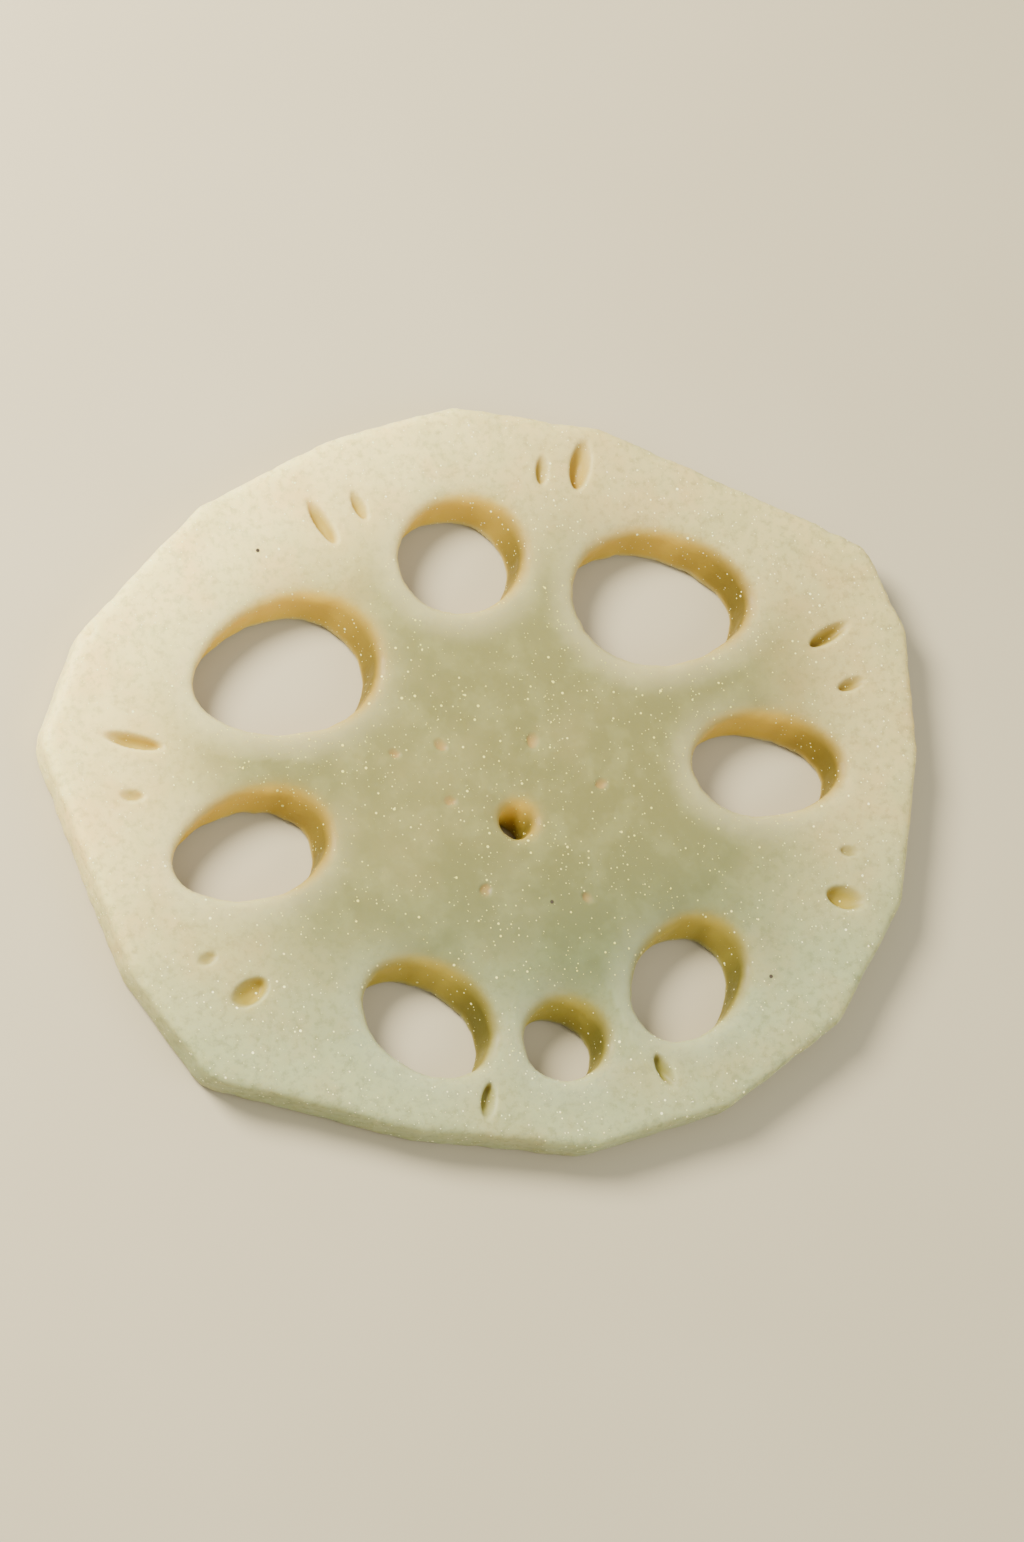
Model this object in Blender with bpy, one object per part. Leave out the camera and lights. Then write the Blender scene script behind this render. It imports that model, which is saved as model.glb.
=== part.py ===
"""One raw slice of peeled lotus root, lying flat on its lower cut face.

A lotus root is an oval stem with one ring of large air canals round a fine
middle canal, and a row of narrow pores just under its skin.  The slice is
one piece of flesh: a plate between two parallel knife cuts, with flat facets
round its rim where a peeler took the skin off, and every canal and pore
running straight through it.

The frame is +Z up, with +Y from the middle canal towards the round canal at
the top of the ring and +X along the longer way across.  The origin is the
middle of the slice's bounding box, on the surface that it lies on.
"""

from collections import namedtuple
from math import atan2, cos, pi, radians, sin, tan

import bpy
from mathutils import Vector

MM = 0.001

NAME = "lotus_root_slice"
COLLECTION = "lotus_root"

# Driving dimensions, in millimetres
THICKNESS = 4.2
CORNER_RADIUS = 3.0        # softening where two peeled facets meet
MIDDLE_CANAL_RADIUS = 1.5

# Points on each kind of outline
CORNER_STEPS = 2
CANAL_STEPS = 28
PORE_STEPS = 10
MIDDLE_STEPS = 12

FLESH_COLOUR = (0.78, 0.68, 0.50, 1.0)
FLESH_ROUGHNESS = 0.35

# Corners between the peeled facets, anticlockwise round the middle canal:
# bearing in degrees from +X, and distance in millimetres.
FACET_CORNERS = [
    (0.0, 37.7),
    (16.5, 41.3),
    (27.5, 42.5),
    (64.5, 36.8),
    (85.5, 37.0),
    (103.5, 36.4),
    (124.5, 37.6),
    (147.5, 40.0),
    (161.5, 41.0),
    (191.5, 36.2),
    (209.0, 35.3),
    (240.0, 28.2),
    (270.0, 28.4),
    (296.0, 30.0),
    (318.5, 32.7),
    (339.0, 35.1),
]

# An egg-shaped canal.  bearing and distance place its middle, turn is the
# direction of its long axis, and egg makes the end that way fuller (above
# nought) or slimmer (below nought).
Canal = namedtuple("Canal", "bearing distance half_length half_width turn egg")

RING_CANALS = [
    Canal(88.5, 23.6, 5.65, 4.90, 15.0, 0.00),    # top, round
    Canal(136.5, 23.3, 8.20, 5.65, 8.5, 0.15),    # upper left, the largest
    Canal(176.5, 23.3, 6.85, 4.30, 8.5, 0.12),    # left
    Canal(233.0, 19.1, 5.80, 4.40, -40.0, 0.00),  # lower left
    Canal(269.5, 19.0, 3.60, 3.30, 0.0, 0.00),    # bottom, small
    Canal(307.0, 19.7, 5.80, 4.40, 38.0, 0.00),   # lower right
    Canal(3.5, 23.7, 6.75, 4.40, -8.5, -0.12),    # right
    Canal(44.5, 24.8, 8.00, 5.80, -8.5, -0.15),   # upper right
]

# A pore is a slit that points at the middle canal.
Pore = namedtuple("Pore", "bearing distance half_length half_width")

RIM_PORES = [
    Pore(20.5, 34.5, 2.2, 0.65),
    Pore(12.5, 34.0, 1.4, 0.55),
    Pore(66.5, 33.0, 2.3, 0.90),
    Pore(72.5, 31.7, 1.4, 0.55),
    Pore(111.5, 30.4, 2.2, 0.65),
    Pore(104.5, 30.2, 1.4, 0.55),
    Pore(159.5, 33.7, 2.6, 0.60),
    Pore(167.5, 33.3, 1.1, 0.50),
    Pore(202.0, 28.4, 1.8, 1.00),
    Pore(194.0, 30.1, 0.9, 0.50),
    Pore(250.5, 24.5, 1.6, 0.60),
    Pore(288.5, 24.5, 1.6, 0.60),
    Pore(338.0, 30.0, 1.8, 1.00),
    Pore(346.0, 30.0, 0.9, 0.50),
]


def polar(bearing, distance):
    """The point at a bearing in degrees and a distance from the middle canal."""
    angle = radians(bearing)
    return Vector((distance * cos(angle), distance * sin(angle)))


def rounded_corners(corners, radius, steps):
    """A closed outline whose corners are arcs of one radius."""
    outline = []
    for index, corner in enumerate(corners):
        to_last = (corners[index - 1] - corner).normalized()
        to_next = (corners[(index + 1) % len(corners)] - corner).normalized()
        half_angle = to_last.angle(to_next) / 2
        inward = (to_last + to_next).normalized()
        centre = corner + inward * (radius / sin(half_angle))
        start = corner + to_last * (radius / tan(half_angle)) - centre
        sweep = pi - 2 * half_angle
        for step in range(steps + 1):
            angle = atan2(start.y, start.x) + sweep * step / steps
            outline.append(centre + radius * Vector((cos(angle), sin(angle))))
    return outline


def egg_outline(centre, half_length, half_width, turn, egg, steps):
    """A closed egg shape: an ellipse whose width grows along its long axis."""
    along = Vector((cos(turn), sin(turn)))
    across = Vector((-along.y, along.x))
    outline = []
    for step in range(steps):
        angle = 2 * pi * step / steps
        width = half_width * (1 + egg * cos(angle))
        outline.append(centre + along * (half_length * cos(angle)) + across * (width * sin(angle)))
    return outline


def slice_outlines():
    """The rim first, and then every hole, in millimetres round the middle canal."""
    corners = [polar(bearing, distance) for bearing, distance in FACET_CORNERS]
    outlines = [rounded_corners(corners, CORNER_RADIUS, CORNER_STEPS)]
    for canal in RING_CANALS:
        centre = polar(canal.bearing, canal.distance)
        outlines.append(egg_outline(centre, canal.half_length, canal.half_width,
                                    radians(canal.turn), canal.egg, CANAL_STEPS))
    for pore in RIM_PORES:
        centre = polar(pore.bearing, pore.distance)
        outlines.append(egg_outline(centre, pore.half_length, pore.half_width,
                                    radians(pore.bearing), 0.0, PORE_STEPS))
    outlines.append(egg_outline(Vector((0.0, 0.0)), MIDDLE_CANAL_RADIUS, MIDDLE_CANAL_RADIUS,
                                0.0, 0.0, MIDDLE_STEPS))
    return outlines


def box_middle(outline):
    """The middle of an outline's bounding box."""
    xs = [point.x for point in outline]
    ys = [point.y for point in outline]
    return Vector(((min(xs) + max(xs)) / 2, (min(ys) + max(ys)) / 2))


def flesh_material():
    material = bpy.data.materials.new("lotus_flesh")
    material.use_nodes = True
    shader = material.node_tree.nodes["Principled BSDF"]
    shader.inputs["Base Color"].default_value = FLESH_COLOUR
    shader.inputs["Roughness"].default_value = FLESH_ROUGHNESS
    shader.inputs["Metallic"].default_value = 0.0
    return material


def build_slice(collection):
    """The slice as one flat outline with its holes, given its thickness."""
    curve = bpy.data.curves.new(NAME, "CURVE")
    curve.dimensions = "2D"
    curve.fill_mode = "BOTH"
    curve.extrude = THICKNESS * MM / 2
    outlines = slice_outlines()
    middle = box_middle(outlines[0])
    for outline in outlines:
        spline = curve.splines.new("POLY")
        spline.points.add(len(outline) - 1)
        for point, place in zip(spline.points, outline):
            local = (place - middle) * MM
            point.co = (local.x, local.y, 0.0, 1.0)
        spline.use_cyclic_u = True
    curve.materials.append(flesh_material())
    root_slice = bpy.data.objects.new(NAME, curve)
    root_slice.location.z = THICKNESS * MM / 2
    collection.objects.link(root_slice)
    return root_slice


def main():
    for old in list(bpy.data.objects):
        bpy.data.objects.remove(old, do_unlink=True)
    collection = bpy.data.collections.new(COLLECTION)
    bpy.context.scene.collection.children.link(collection)
    build_slice(collection)


main()
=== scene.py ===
"""The looks of one raw slice of peeled lotus root, lying on a pale table.

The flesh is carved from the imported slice.  A copy is remeshed finely with its
rim pores closed, its cut edges are softened and the mouths of its canals sink,
more on one side than on the other, because the canals run at a slant.  The
pores come back as slanting dents in both cut faces.  The knife leaves a faint
wave and the rim gets a few nicks.  Each point keeps how near it is to the rim,
a canal or a pore and how deep it lies in one, and the flesh takes its colours
from that.
"""
from collections import namedtuple
from math import cos, radians, sin

import bmesh
import bpy
import numpy as np
from mathutils import Matrix, Vector, noise
from mathutils.kdtree import KDTree


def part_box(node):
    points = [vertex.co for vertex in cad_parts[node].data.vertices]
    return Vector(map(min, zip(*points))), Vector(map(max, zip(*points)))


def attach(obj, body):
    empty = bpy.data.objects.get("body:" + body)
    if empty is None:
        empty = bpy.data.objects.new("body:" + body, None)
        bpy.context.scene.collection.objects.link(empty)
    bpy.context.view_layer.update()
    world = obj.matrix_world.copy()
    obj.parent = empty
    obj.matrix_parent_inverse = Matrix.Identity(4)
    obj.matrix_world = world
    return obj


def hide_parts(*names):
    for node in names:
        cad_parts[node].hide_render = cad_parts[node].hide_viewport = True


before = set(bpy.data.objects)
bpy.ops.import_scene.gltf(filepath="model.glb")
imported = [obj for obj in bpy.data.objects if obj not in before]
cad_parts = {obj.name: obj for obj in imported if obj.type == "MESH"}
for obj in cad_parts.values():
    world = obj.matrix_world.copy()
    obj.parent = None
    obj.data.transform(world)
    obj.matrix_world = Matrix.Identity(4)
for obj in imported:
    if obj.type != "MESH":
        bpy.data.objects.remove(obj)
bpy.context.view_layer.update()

MM = 0.001

NODE = "lotus_root_slice"
LOW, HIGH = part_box(NODE)
THICKNESS = HIGH.z - LOW.z
MIDDLE_HEIGHT = (LOW.z + HIGH.z) / 2

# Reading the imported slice
SAME = 1e-6                   # places closer than this are the same
CUT_FACE = 0.5                # a face whose normal rises more than this lies in a cut face
CANAL_LENGTH = 15.0 * MM      # outlines longer than this are the ring's canals

# The fine mesh
VOXEL = 0.325 * MM            # size of its faces
SMOOTHING_ROUNDS = 5          # softens the cut edges by about a face's width
OUTLINE_STEP = 0.15 * MM      # spacing of the points that distances are read from
REFINED_MARGIN = 0.6 * MM     # how far round a dent the faces are cut smaller

# Lips: depth and width of the dip in a cut face beside an edge
SHARP_LIP = (0.22 * MM, 0.45 * MM)    # a canal's overhanging side
SLOPING_LIP = (0.75 * MM, 1.00 * MM)  # its sloping side
RIM_LIP = (0.10 * MM, 0.50 * MM)
SLOPING_SIDE = radians(48.0)          # bearing of the sloping side, on the upper face
SLOPING = np.array([cos(SLOPING_SIDE), sin(SLOPING_SIDE)])
SLOPING_FALL = 1.3            # how fast the slope fades away from that side
CANAL_SLANT = 1.4 * MM        # how far a canal leans from the upper face to the lower one
SLANT_REACH = 2.8 * MM        # how far round a canal the flesh leans with it

# Pores, seen as dents in the cut faces
PORE_SPREAD = 1.15            # a dent's outline against the pore's own
PORE_DEPTH = 1.6              # its depth against the pore's half width
DEEPEST_PORE = 1.10 * MM
FULL_PORE = 2.3 * MM          # dents shorter than this, by half, are fainter
OUTER_END = 0.15              # share of the depth at the end by the rim
SLOPING_EDGE = 0.35           # share of it along the sloping side
INNER_END = (-1.0, 0.2)       # where the dent deepens from its outer to its inner end
SHARP_EDGE = (-0.9, 0.1)      # and from its sloping to its sharp side
SIDE_GAIN = 3.0               # how soon a dent's direction gives it a sharp side
DENT_SLOPE = 0.55             # share of the dent that its slope takes
STEEPER_END = 0.30            # how much less of it at the inner end
BROAD_PORE = (0.80 * MM, 1.10 * MM)   # pores as wide as this, by half, are amber like a canal
DOT_DEPTH = 0.25 * MM
DOT_LENGTH = 1.4              # length of the tiny pores round the middle, against their width
INNER_PORES = [               # bearing from the middle canal in degrees, distance and half width
    (125, 9.2 * MM, 0.55 * MM),
    (142, 12.0 * MM, 0.45 * MM),
    (66, 7.3 * MM, 0.60 * MM),
    (155, 6.2 * MM, 0.48 * MM),
    (14, 8.4 * MM, 0.50 * MM),
    (232, 7.0 * MM, 0.52 * MM),
    (301, 8.8 * MM, 0.45 * MM),
]

# The knife's wave, the canal walls' unevenness and the peeler's nicks
KNIFE_WAVE = 0.10 * MM
KNIFE_WAVE_LENGTH = 14 * MM
KNIFE_SEED = 3.0
WALL_WAVE = 0.12 * MM
WALL_WAVE_LENGTH = 2.2 * MM
WALL_WAVE_STRETCH = 0.35      # its waves are longer up and down the wall
WALL_SEED = 7.0
NICKS = 26
NICK_SIZE = (0.5 * MM, 1.3 * MM)
NICK_DEPTH = 0.35 * MM
NICK_TILT = 0.8               # how far a nick cuts up or down, against inward
NICK_FALL = 1.5               # how fast it grows shallower towards its edge
UPPER_NICKS = 0.7             # share of the nicks that are in the upper edge
NICK_SEED = 11

# Where a canal turns amber: over these depths, this near its outline, and over this width of
# its sloping shoulder
CANAL_SHADE = (0.15 * MM, 1.20 * MM)
WALL_SHADE = (2.2 * MM, 1.0 * MM)
SHOULDER_SHADE = 1.00 * MM
SHADED_WALL_SIDE = radians(-8.0)   # bearing of the side where a canal's wall gets painted shade, a darker amber
HALO = (3.6 * MM, 0.6 * MM)   # the pale band along a canal's sharp side: its edge and its full part
WARM_REACH = 2.0 * MM         # how far round a pore the flesh is warmer

# The camera: where it stands round the slice, and which way is up in the picture
CAMERA_BEARING = radians(-150.0)
CAMERA_HEIGHT = radians(66.5)
CAMERA_DISTANCE = 0.3715
PICTURE_UP = radians(76.5)
LENS = 155.0
SENSOR_WIDTH = 36.0

# Soft round lights: offset from the slice, width, watts and colour
Light = namedtuple("Light", "name offset size power colour")
LIGHTS = [
    Light("key", (-0.17, 0.16, 0.20), 0.125, 3.6, (1.0, 0.94, 0.82)),
    Light("fill", (0.35, -0.30, 0.40), 0.40, 1.9, (1.0, 0.98, 0.94)),
]
LAMP_UP = Vector((0.1, 0.2, 1.0))     # any way up will do, because the lamps are round
STUDIO_COLOUR = (1.0, 0.98, 0.92, 1.0)
STUDIO_STRENGTH = 0.85

TABLE_SIZE = 3.0
TABLE_GAP = 0.02 * MM


# ---------------------------------------------------------------- the outlines

def welded(mesh):
    """The mesh as a bmesh with its doubled corners joined."""
    work = bmesh.new()
    work.from_mesh(mesh)
    bmesh.ops.remove_doubles(work, verts=work.verts, dist=SAME)
    return work


def top_outlines(node):
    """Every closed outline of the upper face, longest first, as lists of points."""
    work = welded(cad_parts[node].data)
    following = {}
    for edge in work.edges:
        if min(vert.co.z for vert in edge.verts) < HIGH.z - SAME or len(edge.link_faces) != 2:
            continue
        tops = [abs(face.normal.z) > CUT_FACE for face in edge.link_faces]
        if tops[0] != tops[1]:
            first, second = edge.verts
            following.setdefault(first.index, []).append(second.index)
            following.setdefault(second.index, []).append(first.index)
    places = [Vector((vert.co.x, vert.co.y)) for vert in work.verts]
    work.free()
    outlines, used = [], set()
    for start in sorted(following):
        if start in used:
            continue
        loop, here = [], start
        while here is not None:
            used.add(here)
            loop.append(places[here])
            here = next((other for other in following[here] if other not in used), None)
        outlines.append(loop)
    return sorted(outlines, key=outline_length, reverse=True)


def outline_length(outline):
    """How far it is round a closed outline."""
    return sum((outline[i] - outline[i - 1]).length for i in range(len(outline)))


def middle_of(outline):
    """The mean of an outline's points."""
    return sum(outline, Vector((0.0, 0.0))) / len(outline)


def nearest(outlines, places):
    """How far each place is from these outlines seen from above, and which one is nearest."""
    points, owners = [], []
    for number, outline in enumerate(outlines):
        for i, corner in enumerate(outline):
            last = outline[i - 1]
            steps = max(1, int((corner - last).length / OUTLINE_STEP))
            points += [last.lerp(corner, step / steps) for step in range(steps)]
            owners += [number] * steps
    tree = KDTree(len(points))
    for i, point in enumerate(points):
        tree.insert((point.x, point.y, 0.0), i)
    tree.balance()
    found = [tree.find((x, y, 0.0)) for x, y in places[:, :2]]
    gaps = np.array([gap for _, _, gap in found])
    return gaps, np.array([owners[index] for _, index, _ in found])


# ---------------------------------------------------------------- the flesh

def place_key(point):
    """A point's place seen from above, to a hundredth of a millimetre."""
    return round(point.x / MM, 2), round(point.y / MM, 2)


def close_pores(work, pores):
    """Takes away the walls of each pore and fills its two mouths."""
    for pore in pores:
        keys = {place_key(corner) for corner in pore}
        walls = [face for face in work.faces
                 if abs(face.normal.z) < CUT_FACE
                 and all(place_key(vert.co) in keys for vert in face.verts)]
        bmesh.ops.delete(work, geom=walls, context="FACES")
        mouths = [edge for edge in work.edges if edge.is_boundary]
        bmesh.ops.edgeloop_fill(work, edges=mouths)
    bmesh.ops.recalc_face_normals(work, faces=work.faces)


def fine_copy(node, pores):
    """A closed, evenly meshed copy of a CAD node without its pores."""
    mesh = bpy.data.meshes.new("fine")
    work = welded(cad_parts[node].data)
    close_pores(work, pores)
    work.to_mesh(mesh)
    work.free()
    rough = bpy.data.objects.new("rough", mesh)
    bpy.context.scene.collection.objects.link(rough)
    remesh = rough.modifiers.new("remesh", "REMESH")
    remesh.mode = "VOXEL"
    remesh.voxel_size = VOXEL
    bpy.context.view_layer.update()
    evaluated = rough.evaluated_get(bpy.context.evaluated_depsgraph_get())
    fine = bpy.data.meshes.new_from_object(evaluated)
    bpy.data.objects.remove(rough)
    return fine


def refine(mesh, dents):
    """Cuts the faces in and close round each dent into four."""
    work = bmesh.new()
    work.from_mesh(mesh)
    flat = [face for face in work.faces if abs(face.normal.z) > CUT_FACE]
    centres = np.array([face.calc_center_median() for face in flat])
    near = np.zeros(len(flat), bool)
    for dent in dents:
        along, side = in_dent(centres, dent, REFINED_MARGIN)
        near |= np.hypot(along, side) < 1.0
    edges = {edge for face, chosen in zip(flat, near) if chosen for edge in face.edges}
    bmesh.ops.subdivide_edges(work, edges=sorted(edges, key=lambda edge: edge.index),
                              cuts=1, use_grid_fill=True)
    work.to_mesh(mesh)
    work.free()


def read_points(mesh):
    places = np.empty(len(mesh.vertices) * 3)
    mesh.vertices.foreach_get("co", places)
    return places.reshape(-1, 3)


def write_points(mesh, places):
    mesh.vertices.foreach_set("co", places.ravel())
    mesh.update()


def smoothed(mesh, values, rounds, strength=0.5):
    """Values at the points, each moved towards the mean of its neighbours."""
    ends = np.empty(len(mesh.edges) * 2, int)
    mesh.edges.foreach_get("vertices", ends)
    one, two = ends.reshape(-1, 2).T
    count = np.bincount(ends, minlength=len(values))[:, None]
    for _ in range(rounds):
        total = np.stack([
            np.bincount(one, values[two, axis], len(values))
            + np.bincount(two, values[one, axis], len(values))
            for axis in range(values.shape[1])], axis=1)
        values = values + strength * (total / count - values)
    return values


def wave(places, size, seed, octaves=2):
    """Smooth noise of about one wavelength, between -1 and 1."""
    shift = Vector((seed, 2.3 * seed, 5.1 * seed))
    return np.array([noise.fractal(Vector(place) / size + shift, 1.0, 2.0, octaves)
                     for place in places])


def eased(value, low, high):
    """0 below low, 1 above high, and a smooth step between."""
    share = np.clip((value - low) / (high - low), 0.0, 1.0)
    return share * share * (3 - 2 * share)


def dip(gap, lip):
    """How far the surface sinks at this distance from an edge."""
    depth, width = lip
    return depth * np.exp(-gap / width)


def directions(places, canals, owner):
    """Which way each place lies from the middle of its own canal."""
    middles = np.array([middle_of(canal) for canal in canals])
    offset = places[:, :2] - middles[owner]
    return offset / np.linalg.norm(offset, axis=1)[:, None]


# A dent's middle, the direction of its outer end, and its size
Dent = namedtuple("Dent", "middle outward half_length half_width")


def pore_dent(pore, heart):
    """The dent that a pore leaves, its outer end pointing away from the middle canal."""
    middle = middle_of(pore)
    outward = (middle - heart).normalized()
    across = Vector((-outward.y, outward.x))
    half_length = max(abs((corner - middle).dot(outward)) for corner in pore)
    half_width = max(abs((corner - middle).dot(across)) for corner in pore)
    return Dent(middle, outward, half_length * PORE_SPREAD, half_width * PORE_SPREAD)


def inner_dent(bearing, distance, half_width, heart):
    """The dent of one of the tiny pores round the middle canal."""
    outward = Vector((cos(radians(bearing)), sin(radians(bearing))))
    return Dent(heart + outward * distance, outward, half_width * DOT_LENGTH, half_width)


def in_dent(places, dent, margin=0.0):
    """How far each place lies along and across a dent, against its half length and half width."""
    offset = places[:, :2] - np.array(dent.middle)
    along = offset @ np.array(dent.outward) / (dent.half_length + margin)
    side = offset @ np.array((-dent.outward.y, dent.outward.x)) / (dent.half_width + margin)
    return along, side


def dent_share(places, facing, dent):
    """0 outside a leaf-shaped dent, and 1 where it is deepest: by its inner end and sharp side."""
    along, side = in_dent(places, dent)
    leaf = 1.0 - np.hypot(along, side)
    inner = eased(-along, *INNER_END)
    across = np.array((-dent.outward.y, dent.outward.x))
    slope = facing * side * np.clip(SIDE_GAIN * (across @ SLOPING), -1.0, 1.0)
    sharp = eased(-slope, *SHARP_EDGE)
    bowl = eased(leaf, 0.0, DENT_SLOPE - STEEPER_END * inner)
    end = OUTER_END + (1.0 - OUTER_END) * inner
    edge = SLOPING_EDGE + (1.0 - SLOPING_EDGE) * sharp
    return bowl * end * edge * min(1.0, dent.half_length / FULL_PORE)


def nick_places(rim, random):
    """Where the rim is nicked: points along it and each nick's size."""
    places = []
    for _ in range(NICKS):
        corner = random.integers(len(rim))
        place = rim[corner - 1].lerp(rim[corner], random.random())
        size = NICK_SIZE[0] + (NICK_SIZE[1] - NICK_SIZE[0]) * random.random() ** 2
        upper = random.random() < UPPER_NICKS
        places.append((Vector((place.x, place.y, HIGH.z if upper else LOW.z)), size))
    return places


def nicked(places, rim):
    """The places with small chips taken out of the rim's two edges."""
    random = np.random.default_rng(NICK_SEED)
    middle = np.array([0.0, 0.0, MIDDLE_HEIGHT])
    carved = places.copy()
    for place, size in nick_places(rim, random):
        gap = np.linalg.norm(places - np.array(place), axis=1)
        inward = middle - np.array(place)
        inward /= np.linalg.norm(inward)
        inward[2] = -np.sign(place.z - MIDDLE_HEIGHT) * NICK_TILT
        carved += inward * (NICK_DEPTH * np.clip(1 - gap / size, 0, 1) ** NICK_FALL)[:, None]
    return carved


def carve(mesh, rim, canals, pores, pore_dents, dot_dents):
    """Gives the remeshed slice its soft edges, lips, dents, waves and nicks, and its attributes."""
    places = smoothed(mesh, read_points(mesh), SMOOTHING_ROUNDS)
    to_rim, _ = nearest([rim], places)
    to_canal, canal = nearest(canals, places)
    to_pore, _ = nearest(pores, places)
    write_points(mesh, places)
    normals = np.array([vertex.normal for vertex in mesh.vertices])

    up = np.clip((places[:, 2] - LOW.z) / THICKNESS, 0.0, 1.0)
    facing = np.where(up > 0.5, 1.0, -1.0)
    pore_share, pore_depth, pore_amber, dot_share = np.zeros((4, len(places)))
    for dent in pore_dents:
        share = dent_share(places, facing, dent)
        pore_share = np.maximum(pore_share, share)
        deepest = min(PORE_DEPTH * dent.half_width, DEEPEST_PORE)
        pore_depth = np.maximum(pore_depth, share * deepest)
        pore_amber = np.maximum(pore_amber, share * eased(dent.half_width, *BROAD_PORE))
    for dent in dot_dents:
        share = dent_share(places, facing, dent)
        dot_share = np.maximum(dot_share, share / share.max())

    direction = directions(places, canals, canal)
    sloping = (0.5 + 0.5 * facing * (direction @ SLOPING)) ** SLOPING_FALL
    sink = (1.0 - sloping) * dip(to_canal, SHARP_LIP) + sloping * dip(to_canal, SLOPING_LIP)
    sink += dip(to_rim, RIM_LIP)
    sink += pore_depth + DOT_DEPTH * dot_share
    sink += KNIFE_WAVE * (0.5 + 0.5 * wave(places * (1, 1, 0), KNIFE_WAVE_LENGTH, KNIFE_SEED))
    carved = places.copy()
    carved[:, 2] += sink * (1.0 - 2.0 * up)
    lean = CANAL_SLANT * (1.0 - up) * np.exp(-to_canal / SLANT_REACH)
    carved[:, :2] -= np.outer(lean, SLOPING)
    stretched = places * (1, 1, WALL_WAVE_STRETCH)
    unevenness = WALL_WAVE * wave(stretched, WALL_WAVE_LENGTH, WALL_SEED)
    carved += normals * (1, 1, 0) * unevenness[:, None]
    carved = smoothed(mesh, nicked(carved, rim), 1)
    write_points(mesh, np.clip(carved, LOW, HIGH))

    depth = np.minimum(HIGH.z - carved[:, 2], carved[:, 2] - LOW.z)
    wall = eased(to_canal, *WALL_SHADE) * eased(depth, *CANAL_SHADE)
    shoulder = sloping * eased(to_canal, SHOULDER_SHADE, 0.0)
    amber = np.maximum(wall, shoulder) * (to_canal < to_rim)
    # Painted shade: one side of each canal's wall is painted a darker amber
    painted_wall_shade = np.clip(direction @ (cos(SHADED_WALL_SIDE), sin(SHADED_WALL_SIDE)), 0.0, 1.0) ** 2
    in_ring = canal < len(canals) - 1      # the last canal is the one in the middle
    halo = (1.0 - sloping) * eased(to_canal, *HALO) * in_ring
    add_attribute(mesh, "rim", to_rim / MM)
    add_attribute(mesh, "halo", halo)
    add_attribute(mesh, "in_canal", np.maximum(amber, pore_amber))
    add_attribute(mesh, "painted_wall_shade", painted_wall_shade * amber)
    add_attribute(mesh, "by_pore", np.exp(-to_pore / WARM_REACH))
    add_attribute(mesh, "in_pore", pore_share)
    add_attribute(mesh, "in_dot", dot_share)


def add_attribute(mesh, name, values):
    """A number at each point, which the material can read."""
    layer = mesh.attributes.new(name, "FLOAT", "POINT")
    layer.data.foreach_set("value", values.astype(np.float32))


# ---------------------------------------------------------------- materials

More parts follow.
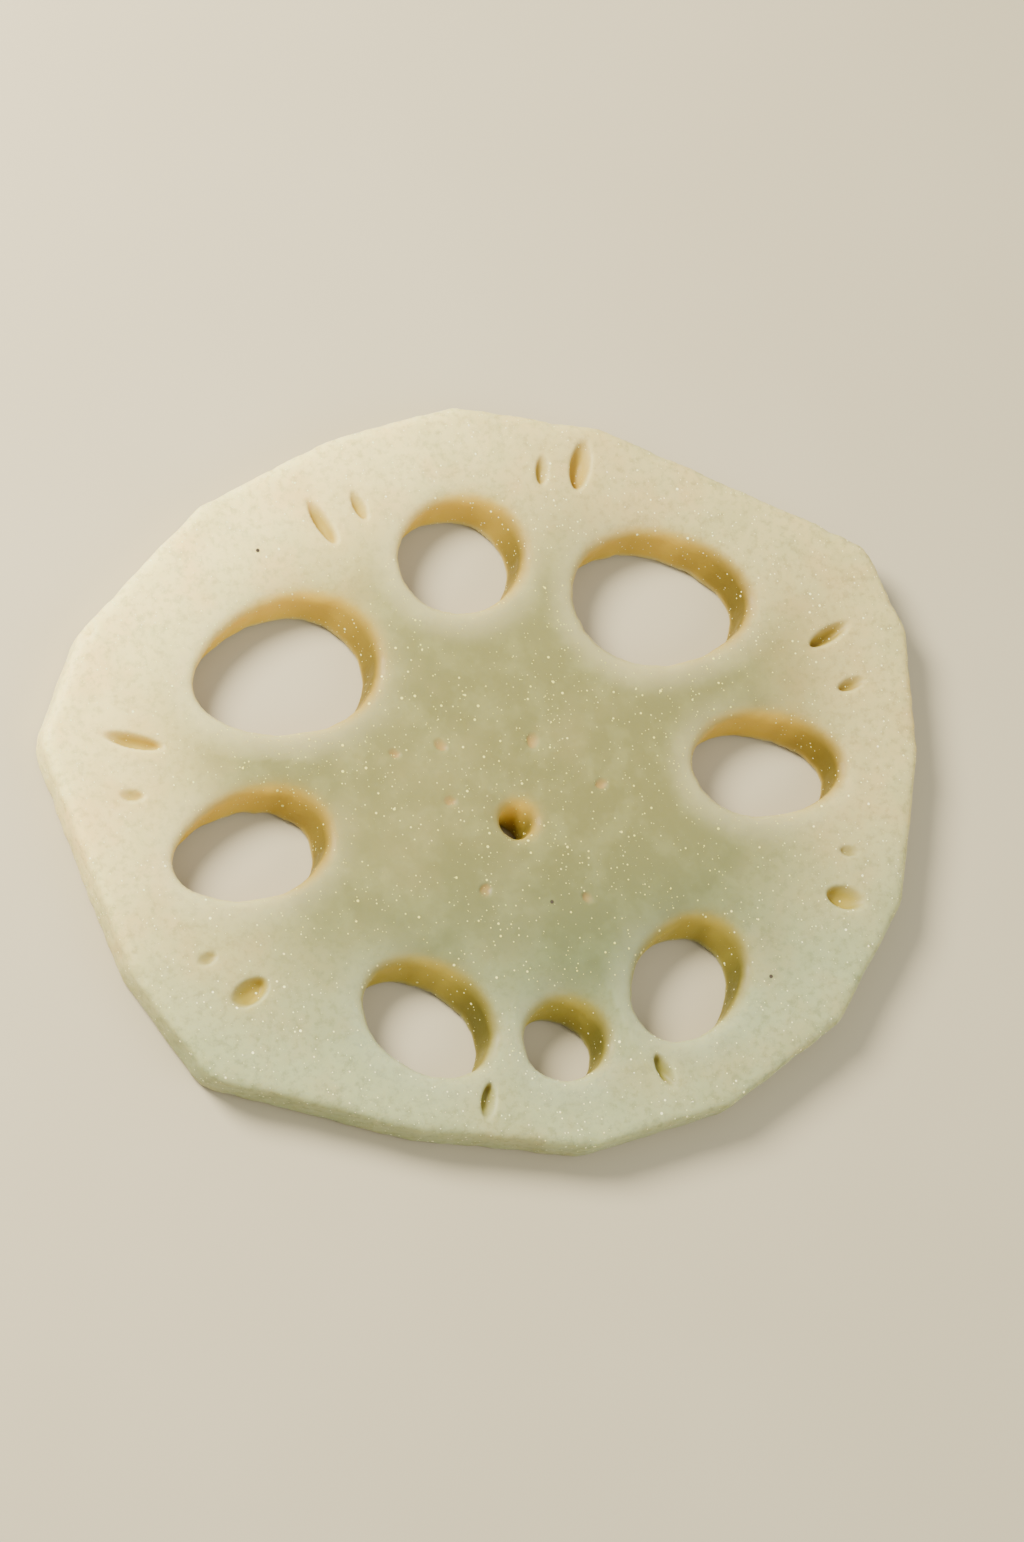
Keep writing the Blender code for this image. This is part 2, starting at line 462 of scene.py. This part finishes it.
class Nodes:
    """Short ways to add the nodes of one material."""

    def __init__(self, name):
        self.material = bpy.data.materials.new(name)
        self.material.use_nodes = True
        self.tree = self.material.node_tree
        self.shader = self.tree.nodes["Principled BSDF"]

    def link(self, source, socket):
        self.tree.links.new(source, socket)

    def set(self, socket, value):
        """A number, a colour or another node's output into a socket."""
        if isinstance(value, bpy.types.NodeSocket):
            self.link(value, socket)
        elif isinstance(value, tuple) and len(value) == 3 and socket.type == "RGBA":
            socket.default_value = (*value, 1.0)
        else:
            socket.default_value = value

    def node(self, kind, **inputs):
        """A new node with some of its inputs set."""
        made = self.tree.nodes.new(kind)
        for name, value in inputs.items():
            self.set(made.inputs[name], value)
        return made

    def place(self):
        """Where the point is in the slice's frame, in metres."""
        return self.node("ShaderNodeTexCoord").outputs["Object"]

    def along(self, bearing):
        """How far a point is from the slice's middle in one direction."""
        made = self.node("ShaderNodeVectorMath")
        made.operation = "DOT_PRODUCT"
        self.link(self.place(), made.inputs[0])
        made.inputs[1].default_value = (cos(bearing), sin(bearing), 0.0)
        return made.outputs["Value"]

    def attribute(self, name):
        """A number that carve() kept at each point."""
        made = self.tree.nodes.new("ShaderNodeAttribute")
        made.attribute_name = name
        return made.outputs["Fac"]

    def noise(self, size, detail, roughness, offset=0.0):
        """Soft noise whose lumps are about one size, in metres."""
        place = self.place()
        if offset:
            shift = self.node("ShaderNodeVectorMath")
            shift.operation = "ADD"
            self.link(place, shift.inputs[0])
            shift.inputs[1].default_value = (offset, offset, offset)
            place = shift.outputs["Vector"]
        made = self.node("ShaderNodeTexNoise", Vector=place, Scale=1 / size,
                         Detail=detail, Roughness=roughness)
        return made.outputs["Fac"]

    def lumps(self, kind):
        """Lumpy noise between a kind's least and its most."""
        made = self.noise(kind.size, kind.detail, kind.roughness, offset=kind.offset)
        return self.ramp(made, kind.low, kind.high, kind.least, kind.most)

    def change(self, value, kind):
        """A slow change of one kind, by how large a value is."""
        return self.ramp(value, kind.start, kind.end, kind.before, kind.after)

    def share(self, name, gain):
        """An attribute times a number, never above one."""
        return self.math("MULTIPLY", self.attribute(name), gain, clamp=True)

    def math(self, operation, one, two, clamp=False):
        made = self.tree.nodes.new("ShaderNodeMath")
        made.operation = operation
        made.use_clamp = clamp
        self.set(made.inputs[0], one)
        self.set(made.inputs[1], two)
        return made.outputs[0]

    def ramp(self, value, low, high, to_low=0.0, to_high=1.0, smooth=True):
        """value between low and high, carried to between to_low and to_high."""
        made = self.tree.nodes.new("ShaderNodeMapRange")
        made.interpolation_type = "SMOOTHSTEP" if smooth else "LINEAR"
        for name, number in (("Value", value), ("From Min", low), ("From Max", high),
                             ("To Min", to_low), ("To Max", to_high)):
            self.set(made.inputs[name], number)
        return made.outputs["Result"]

    def blend(self, share, one, two, kind="MIX"):
        """Colour one, with this share of it mixed with or multiplied by colour two."""
        made = self.tree.nodes.new("ShaderNodeMix")
        made.data_type = "RGBA"
        made.blend_type = kind
        self.set(made.inputs["Factor"], share)
        # The colour sockets of a Mix node come after those of its other types
        for socket, value in zip([s for s in made.inputs if s.type == "RGBA"], (one, two)):
            self.set(socket, value)
        return next(s for s in made.outputs if s.type == "RGBA")

    def bump(self, height, distance, strength=1.0, normal=None):
        """Fine relief that is too small for the mesh, on top of another's if one is given."""
        made = self.node("ShaderNodeBump", Height=height, Distance=distance, Strength=strength)
        if normal:
            self.link(normal, made.inputs["Normal"])
        return made.outputs["Normal"]


IVORY = (0.652, 0.575, 0.246)
PALE = (0.660, 0.600, 0.330)
CENTRE = (0.216, 0.208, 0.076)
HEART = (0.155, 0.149, 0.044)
BLUSH = (0.690, 0.510, 0.195)
OLIVE = (0.400, 0.400, 0.158)
# Painted shade, greenish, multiplied in towards the bottom
BOTTOM_SHADE_TINT = (0.59, 0.72, 0.85)
AMBER = (0.610, 0.395, 0.046)
# Painted shade: the darker amber on one side of each canal wall
SHADED_WALL_AMBER = (0.125, 0.088, 0.010)
TAN = (0.420, 0.302, 0.050)
WARM = (0.650, 0.460, 0.150)
BROWN = (0.365, 0.250, 0.072)
# Painted glints: the bright colour of the moisture beads, dimmer towards the middle
PAINTED_GLINT = (1.0, 0.97, 0.52)
CENTRE_PAINTED_GLINT = (0.70, 0.67, 0.20)
DARK_SPECK = (0.05, 0.04, 0.03)
TABLE_COLOURS = ((0.425, 0.378, 0.250), (0.437, 0.390, 0.261))

# Lumpy noise: least where the noise is below low, and most where it is above high
Lumps = namedtuple("Lumps", "size detail roughness offset low high least most")
PATCHES = Lumps(9 * MM, 3.0, 0.55, 0.0, 0.30, 0.70, 0.84, 1.12)    # of the centre's colour
BLUSHES = Lumps(5 * MM, 3.0, 0.55, 0.31, 0.44, 0.70, 0.0, 0.60)
CLOUDS = Lumps(3.2 * MM, 3.0, 0.60, 0.53, 0.44, 0.68, 0.0, 0.24)
GRAINS = Lumps(0.7 * MM, 4.0, 0.70, 0.17, 0.44, 0.72, 0.0, 0.42)
ROUGHNESS = Lumps(1.2 * MM, 3.0, 0.55, 0.70, 0.30, 0.70, 0.42, 0.62)
MOTTLES = Lumps(30 * MM, 2.0, 0.55, 0.0, 0.30, 0.70, 0.0, 1.0)     # of the table

# A slow change between two distances: before up to start, and after from end on
Change = namedtuple("Change", "start end before after")
INWARD = Change(2.0, 18.0, 0.0, 1.0)           # ivory to the centre's colour, in mm from the rim
TO_HEART = Change(16.0, 27.0, 0.0, 0.30)       # darker round the middle, in mm from the rim
# Painted light and shade: the flesh is painted lighter towards one side and darker towards another,
# as the light falls
LIT_SIDE = radians(125.0)
PAINTED_LIGHT = Change(10 * MM, 34 * MM, 0.87, 1.20)
SHADED_SIDE = radians(35.0)
PAINTED_SHADE = Change(8 * MM, 30 * MM, 1.0, 0.87)
# Painted shade: greenish and darker towards the bottom of the slice
BOTTOM_SHADE_SIDE = radians(270.0)
BOTTOM_SHADE = Change(2 * MM, 21 * MM, 0.0, 1.0)
HALO_SHARE = 0.38
WARM_SHARE = 0.30
PORE_SHADE = 1.5              # how soon a pore turns tan as it deepens

# Beads of moisture: spacing, and the largest share of places that hold a bead
BEADS = [(0.30 * MM, 0.80), (0.55 * MM, 0.38)]
BEAD_PICK = (0.3, 1.0)        # the random draws over which beads grow from small to large
BEAD_SIZE = (0.08, 0.28)      # radius against the spacing
BEAD_EDGE = 0.10
BEAD_PATCHES = Lumps(6 * MM, 3.0, 0.55, 0.0, 0.38, 0.62, 0.45, 1.0)
BEAD_SHIFT = 900              # sets the patches of the two sizes apart
BEADS_INWARD = Change(14.0, 23.0, 0.75, 1.25)  # in mm from the rim
BEAD_GLOSS = 0.2
BEAD_HEIGHT = 0.08 * MM

# The flesh's fine grain in the way it takes the light
GRAIN = (0.45 * MM, 4.0, 0.6)     # size, detail and roughness of the noise
GRAIN_HEIGHT = 0.05 * MM
GRAIN_STRENGTH = 0.6

# Grains of soil
SOIL_SPACING = 9 * MM
SOIL_SIZE = (0.024, 0.014)    # outer and inner radius against the spacing
SOIL_SHARE = 0.10
SOIL_MARGIN = 3.0             # none this near the rim, in mm


def beads(made, spacing, most):
    """Fine beads of moisture, of many sizes, thicker in some places than in others; the same mask
    places their painted glints.
    """
    cells = made.node("ShaderNodeTexVoronoi", Vector=made.place(), Scale=1 / spacing)
    pick = made.node("ShaderNodeSeparateXYZ", Vector=cells.outputs["Color"])
    size = made.ramp(pick.outputs["Y"], *BEAD_PICK, *BEAD_SIZE, smooth=False)
    bead_and_glint = made.ramp(made.math("SUBTRACT", size, cells.outputs["Distance"]), 0.0, BEAD_EDGE)
    share = made.lumps(BEAD_PATCHES._replace(
        offset=spacing * BEAD_SHIFT, least=BEAD_PATCHES.least * most, most=most))
    share = made.math("MULTIPLY", share, made.change(made.attribute("rim"), BEADS_INWARD))
    return made.math("MULTIPLY", bead_and_glint, made.math("LESS_THAN", pick.outputs["X"], share))


def soil(made):
    """A few tiny dark grains, well inside the rim."""
    cells = made.node("ShaderNodeTexVoronoi", Vector=made.place(), Scale=1 / SOIL_SPACING)
    cells.voronoi_dimensions = "2D"
    pick = made.node("ShaderNodeSeparateXYZ", Vector=cells.outputs["Color"])
    grain = made.ramp(cells.outputs["Distance"], *SOIL_SIZE)
    chosen = made.math("LESS_THAN", pick.outputs["X"], SOIL_SHARE)
    inside = made.math("GREATER_THAN", made.attribute("rim"), SOIL_MARGIN)
    return made.math("MULTIPLY", made.math("MULTIPLY", grain, chosen), inside)


def flesh_colour(made, bead_and_glint):
    """Ivory by the rim, olive towards the middle, tan in its pores and amber in its canals, with
    painted light and shade over it and painted glints at its beads.
    """
    to_centre = made.change(made.attribute("rim"), INWARD)
    inward = made.math("MULTIPLY", to_centre, made.lumps(PATCHES), clamp=True)
    colour = made.blend(inward, made.blend(made.lumps(BLUSHES), IVORY, BLUSH), CENTRE)
    colour = made.blend(made.change(made.attribute("rim"), TO_HEART), colour, HEART)
    colour = made.blend(made.lumps(CLOUDS), colour, OLIVE)
    colour = made.blend(made.lumps(GRAINS), colour, CENTRE)
    colour = made.blend(made.share("halo", HALO_SHARE), colour, PALE)
    colour = made.blend(made.share("by_pore", WARM_SHARE), colour, WARM)
    colour = made.blend(made.share("in_pore", PORE_SHADE), colour, TAN)
    colour = made.blend(made.attribute("in_canal"), colour, AMBER)
    # painted shade on one side of each canal wall
    colour = made.blend(made.attribute("painted_wall_shade"), colour, SHADED_WALL_AMBER)
    colour = made.blend(made.attribute("in_dot"), colour, BROWN)
    # painted shade, greenish, towards the bottom
    bottom_shade = made.change(made.along(BOTTOM_SHADE_SIDE), BOTTOM_SHADE)
    colour = made.blend(bottom_shade, colour, BOTTOM_SHADE_TINT, "MULTIPLY")
    # painted light towards one side and painted shade towards another
    for side, kind in ((LIT_SIDE, PAINTED_LIGHT), (SHADED_SIDE, PAINTED_SHADE)):
        colour = made.blend(1.0, colour, made.change(made.along(side), kind), "MULTIPLY")
    # painted glints: bright colour at the moisture beads, on top of their real relief and gloss
    colour = made.blend(bead_and_glint, colour, made.blend(inward, PAINTED_GLINT, CENTRE_PAINTED_GLINT))
    return made.blend(soil(made), colour, DARK_SPECK)


def flesh_material():
    """Moist, faintly translucent flesh, beaded with moisture whose glints are partly painted into
    its colour.
    """
    made = Nodes("lotus_flesh")
    bead_and_glint = made.math("MAXIMUM", *[beads(made, *kind) for kind in BEADS])
    shader = made.shader
    made.link(flesh_colour(made, bead_and_glint), shader.inputs["Base Color"])
    shader.inputs["Subsurface Weight"].default_value = 0.55
    shader.inputs["Subsurface Radius"].default_value = (1.0, 0.72, 0.32)
    shader.inputs["Subsurface Scale"].default_value = 4.0 * MM
    shader.inputs["IOR"].default_value = 1.36
    shader.inputs["Specular IOR Level"].default_value = 0.22
    shader.inputs["Coat Weight"].default_value = 0.04
    shader.inputs["Coat Roughness"].default_value = 0.25
    gloss = made.math("MULTIPLY", bead_and_glint, BEAD_GLOSS)
    made.link(made.math("SUBTRACT", made.lumps(ROUGHNESS), gloss), shader.inputs["Roughness"])
    grain = made.bump(made.noise(*GRAIN), GRAIN_HEIGHT, GRAIN_STRENGTH)
    made.link(made.bump(bead_and_glint, BEAD_HEIGHT, normal=grain), shader.inputs["Normal"])
    return made.material


def table_material():
    made = Nodes("pale_table")
    made.link(made.blend(made.lumps(MOTTLES), *TABLE_COLOURS), made.shader.inputs["Base Color"])
    made.shader.inputs["Roughness"].default_value = 0.5
    return made.material


# ---------------------------------------------------------------- the scene

def build_slice():
    """The flesh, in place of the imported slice."""
    rim, *holes = top_outlines(NODE)
    canals = [hole for hole in holes if outline_length(hole) > CANAL_LENGTH]
    heart = min(holes, key=lambda hole: middle_of(hole).length)
    pores = [hole for hole in holes if hole is not heart and outline_length(hole) <= CANAL_LENGTH]
    middle = middle_of(heart)
    pore_dents = [pore_dent(pore, middle) for pore in pores]
    dot_dents = [inner_dent(*pore, middle) for pore in INNER_PORES]
    mesh = fine_copy(NODE, pores)
    refine(mesh, [*pore_dents, *dot_dents])
    carve(mesh, rim, [*canals, heart], pores, pore_dents, dot_dents)
    mesh.materials.clear()
    mesh.materials.append(flesh_material())
    mesh.shade_smooth()
    flesh = bpy.data.objects.new("lotus_flesh", mesh)
    bpy.context.scene.collection.objects.link(flesh)
    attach(flesh, "root")
    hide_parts(NODE)


def build_table():
    """A wide pale table top, just below the slice."""
    bpy.ops.mesh.primitive_plane_add(size=TABLE_SIZE, location=(0, 0, LOW.z - TABLE_GAP))
    table = bpy.context.object
    table.name = "table"
    table.data.materials.append(table_material())


def looking_at(place, target, up):
    """A placement at place whose -Z axis points at target, with up towards +Y."""
    back = (place - target).normalized()
    right = up.cross(back).normalized()
    turned = Matrix((right, back.cross(right), back)).transposed()
    return Matrix.Translation(place) @ turned.to_4x4()


def add_camera(target):
    data = bpy.data.cameras.new("camera")
    data.sensor_fit = "HORIZONTAL"
    data.sensor_width = SENSOR_WIDTH
    data.lens = LENS
    data.clip_start = 0.01
    camera = bpy.data.objects.new("camera", data)
    bpy.context.scene.collection.objects.link(camera)
    flat = cos(CAMERA_HEIGHT)
    direction = Vector((flat * cos(CAMERA_BEARING), flat * sin(CAMERA_BEARING), sin(CAMERA_HEIGHT)))
    up = Vector((cos(PICTURE_UP), sin(PICTURE_UP), 0.0))
    camera.matrix_world = looking_at(target + direction * CAMERA_DISTANCE, target, up)
    bpy.context.scene.camera = camera


def add_light(light, target):
    data = bpy.data.lights.new(light.name, "AREA")
    data.shape = "DISK"
    data.size = light.size
    data.energy = light.power
    data.color = light.colour
    lamp = bpy.data.objects.new(light.name, data)
    bpy.context.scene.collection.objects.link(lamp)
    lamp.matrix_world = looking_at(target + Vector(light.offset), target, LAMP_UP)


def add_world():
    world = bpy.data.worlds.new("studio")
    world.use_nodes = True
    background = world.node_tree.nodes["Background"]
    background.inputs["Color"].default_value = STUDIO_COLOUR
    background.inputs["Strength"].default_value = STUDIO_STRENGTH
    bpy.context.scene.world = world


target = Vector(((LOW.x + HIGH.x) / 2, (LOW.y + HIGH.y) / 2, HIGH.z))
add_camera(target)
add_world()
for light in LIGHTS:
    add_light(light, target)
build_table()
build_slice()
